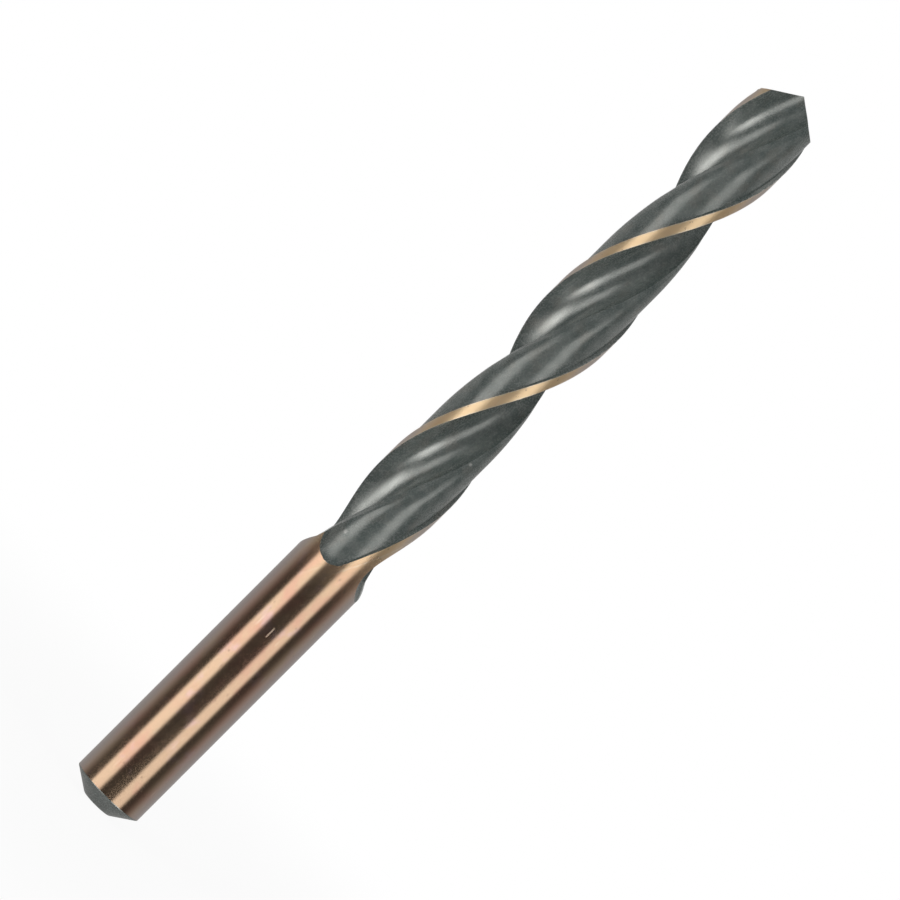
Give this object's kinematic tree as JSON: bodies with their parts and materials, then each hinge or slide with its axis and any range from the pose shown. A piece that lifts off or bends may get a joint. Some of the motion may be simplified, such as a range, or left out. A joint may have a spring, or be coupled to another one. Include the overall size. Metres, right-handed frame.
{
  "type": "twist drill bit",
  "caption": "Straight-shank twist drill bit with spiral flutes, narrow ground margins and a conical cutting point, held in a drill chuck to bore round holes in metal.",
  "frame": {"origin": "centre of the flat end face of the shank", "axes": "+Z along the drill axis from the shank end to the point; the two cutting lips run along X, one on each side of the axis; X, Y and Z are right handed"},
  "size_m": [0.0125, 0.0124, 0.151],
  "materials": {
    "tool_steel": "ground and satin: bronze oxide colour on the shank and margins, dark grey oxide on the flutes, lands, point and end chamfer"
  },
  "bodies": {
    "root": {"twist_drill_bit": "tool_steel"}
  },
  "joints": []
}
